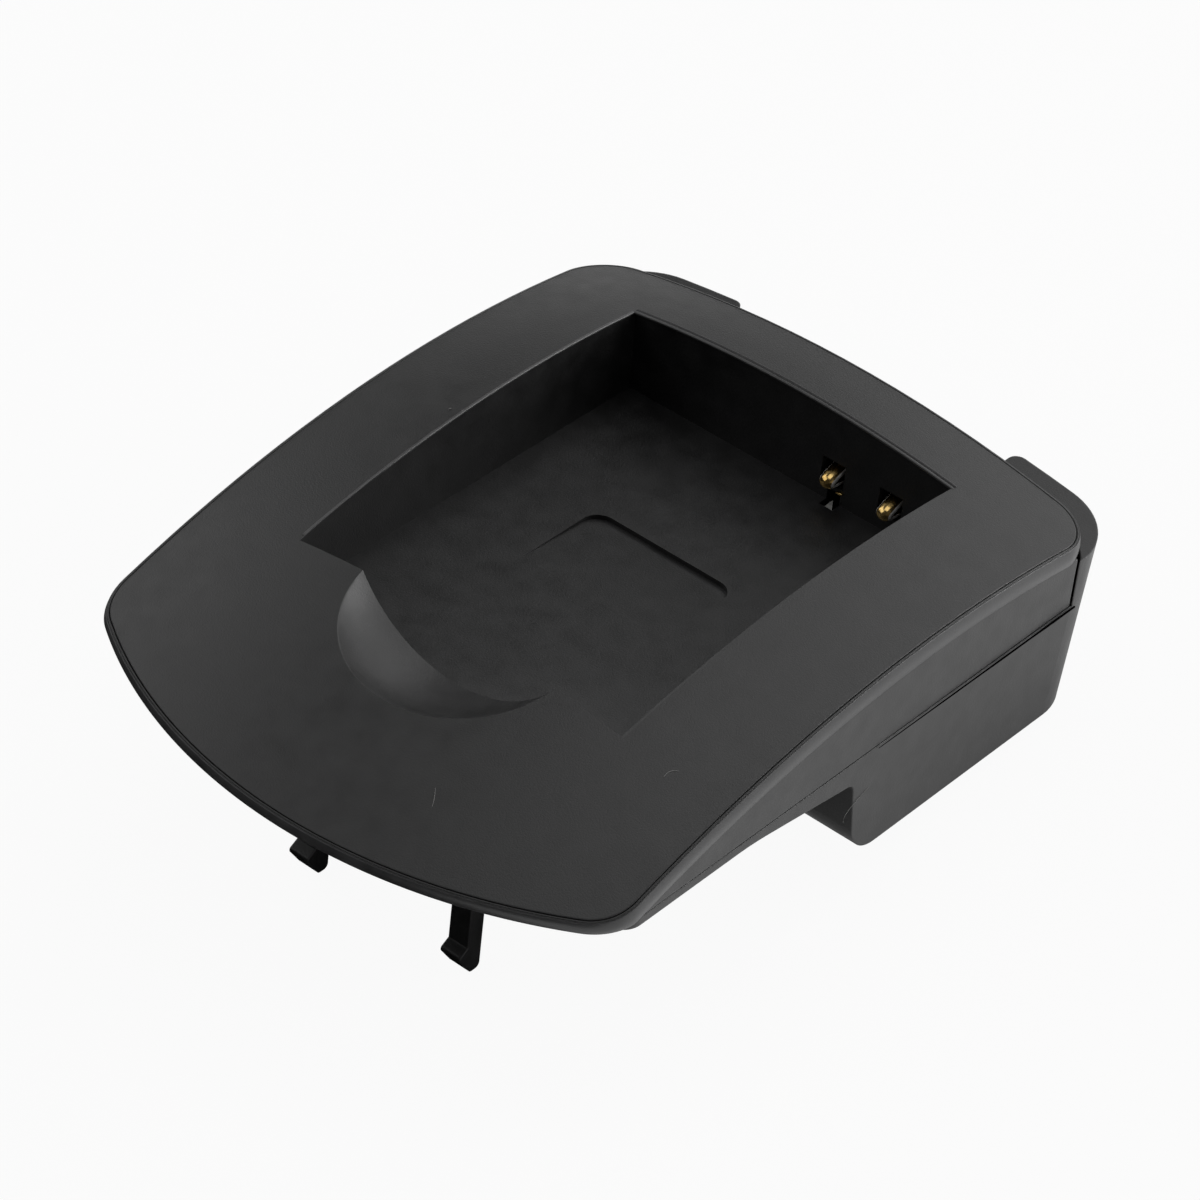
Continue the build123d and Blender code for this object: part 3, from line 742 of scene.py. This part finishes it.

# %% [markdown]
# ## Foot of the first contact
# Under the first contact the wall has a small window, and the foot of the strip shows in it: a tinned tip
# at the level of the pocket's floor, and a fold of gold at the window's top. The tip's pale matte grey is tin,
# and also a painted glint of a lit facet in the window's shade. The tip is a three-sided plate, two rings of
# three points each, and the fold is a short round bar that is half sunk in the wall.

# %% Foot of the first contact
# Painted glint: the tip's pale matte grey shows as a lit facet in the window's shade.
tip_tin_and_painted_glint = moulded_plastic("tinned_tip_painted_glint", (0.32, 0.32, 0.31), (0.46, 0.46, 0.44), 0.35, 0.5, 0.00001, 0.000004)
tip_plan = np.array([(5.62, 25.79), (5.68, 24.47), (6.49, 24.47)])
tip_top = 21.12
tip_thick = 0.15
tip_rings = np.stack([np.column_stack([tip_plan, np.full(3, z)]) for z in (tip_top - tip_thick, tip_top)])
finish_piece(mesh_of_rings("contact_foot_tip", tip_rings, False), tip_tin_and_painted_glint)
fold_path = np.linspace((6.05, 25.36, 22.4), (6.75, 25.36, 22.46), 12)
fold_radius = 0.14 * np.sqrt(1 - 0.9 * np.linspace(-1, 1, 12) ** 2)
finish_piece(tube_along("contact_foot_fold", fold_path, fold_radius, 12, False), gold)

# %% [markdown]
# ## Board and chips
# These are closed in the housing, and show only when a learner takes the cover off. The board's green is a
# solder mask over copper, lighter where a track runs under it, so a square wave along X and Y marks tracks.

# %% Board and chips
board_material, tree, output = new_material("solder_mask")
skin = tree.nodes.new("ShaderNodeBsdfPrincipled")
spot = tree.nodes.new("ShaderNodeTexCoord")
tracks = tree.nodes.new("ShaderNodeTexBrick")
tracks.inputs["Color1"].default_value = (0.012, 0.075, 0.03, 1)
tracks.inputs["Color2"].default_value = (0.016, 0.09, 0.036, 1)
tracks.inputs["Mortar"].default_value = (0.03, 0.16, 0.06, 1)
tracks.inputs["Scale"].default_value = 180.0
tracks.inputs["Mortar Size"].default_value = 0.05
tree.links.new(spot.outputs["Object"], tracks.inputs["Vector"])
tree.links.new(tracks.outputs["Color"], skin.inputs["Base Color"])
surface = tree.nodes.new("ShaderNodeGroup")
surface.node_tree = grain
tree.links.new(range_of(tree, surface.outputs["Mottle"], 0.25, 0.45), skin.inputs["Roughness"])
bump = tree.nodes.new("ShaderNodeBump")
bump.inputs["Distance"].default_value = 0.00003
tree.links.new(tracks.outputs["Fac"], bump.inputs["Height"])
tree.links.new(bump.outputs["Normal"], skin.inputs["Normal"])
tree.links.new(skin.outputs[0], output.inputs["Surface"])
dress("circuit_board", board_material)
ceramic = moulded_plastic("chip_black", (0.02, 0.02, 0.022), (0.035, 0.034, 0.034), 0.3, 0.5, 0.0001, 0.00001)
tan = moulded_plastic("capacitor_tan", (0.28, 0.2, 0.11), (0.36, 0.26, 0.15), 0.35, 0.5, 0.0002, 0.00001)
dress("chip_resistors", ceramic)
dress("chip_capacitor", tan)

# %% [markdown]
# ## Lint
# A dark, charged plastic draws dust. The photograph shows a few short hairs on the lid and one on the side
# wall. Each is a tapered tube along a bent line that lies on the surface: a few points, smoothed by
# a parabola through the middle one, are enough.

# %% Lint
lint_material = moulded_plastic("lint", (0.17, 0.17, 0.17), (0.28, 0.28, 0.27), 0.7, 0.9, 0.00001, 0.000001)


def hair(name, start, middle_point, end, thick, on_lid):
    """A hair through three points in mm: a parabola that passes through the middle one, thin at both ends."""
    t = np.linspace(0, 1, 24)[:, None]
    a, b, c = (np.array(point, float) for point in (start, middle_point, end))
    bow = 2 * b - (a + c) / 2
    path = (1 - t) ** 2 * a + 2 * t * (1 - t) * bow + t**2 * c
    if on_lid:
        path[:, 2] = lid_height(path[:, 0], path[:, 1]) + thick / 2
    radius = thick * (0.35 + 0.65 * np.sin(np.pi * t[:, 0]))
    finish_piece(tube_along(name, path, radius, 6, False), lint_material)


hair("hair_right", (22.12, -17.53, 0), (22.15, -16.8, 0), (22.63, -16.33, 0), 0.03, True)
hair("hair_front", (9.28, -29.82, 0), (9.8, -30.5, 0), (10.2, -31.19, 0), 0.02, True)
hair("speck_left", (-18.7, 2.44, 0), (-18.63, 2.54, 0), (-18.6, 2.68, 0), 0.05, True)
hair("speck_rim", (-17.62, 2.76, 0), (-17.57, 2.86, 0), (-17.56, 3.0, 0), 0.06, True)
hair("hair_side", (27.62, 0.75, 13.1), (27.66, 1.1, 14.2), (27.62, 3.7, 15.15), 0.024, False)
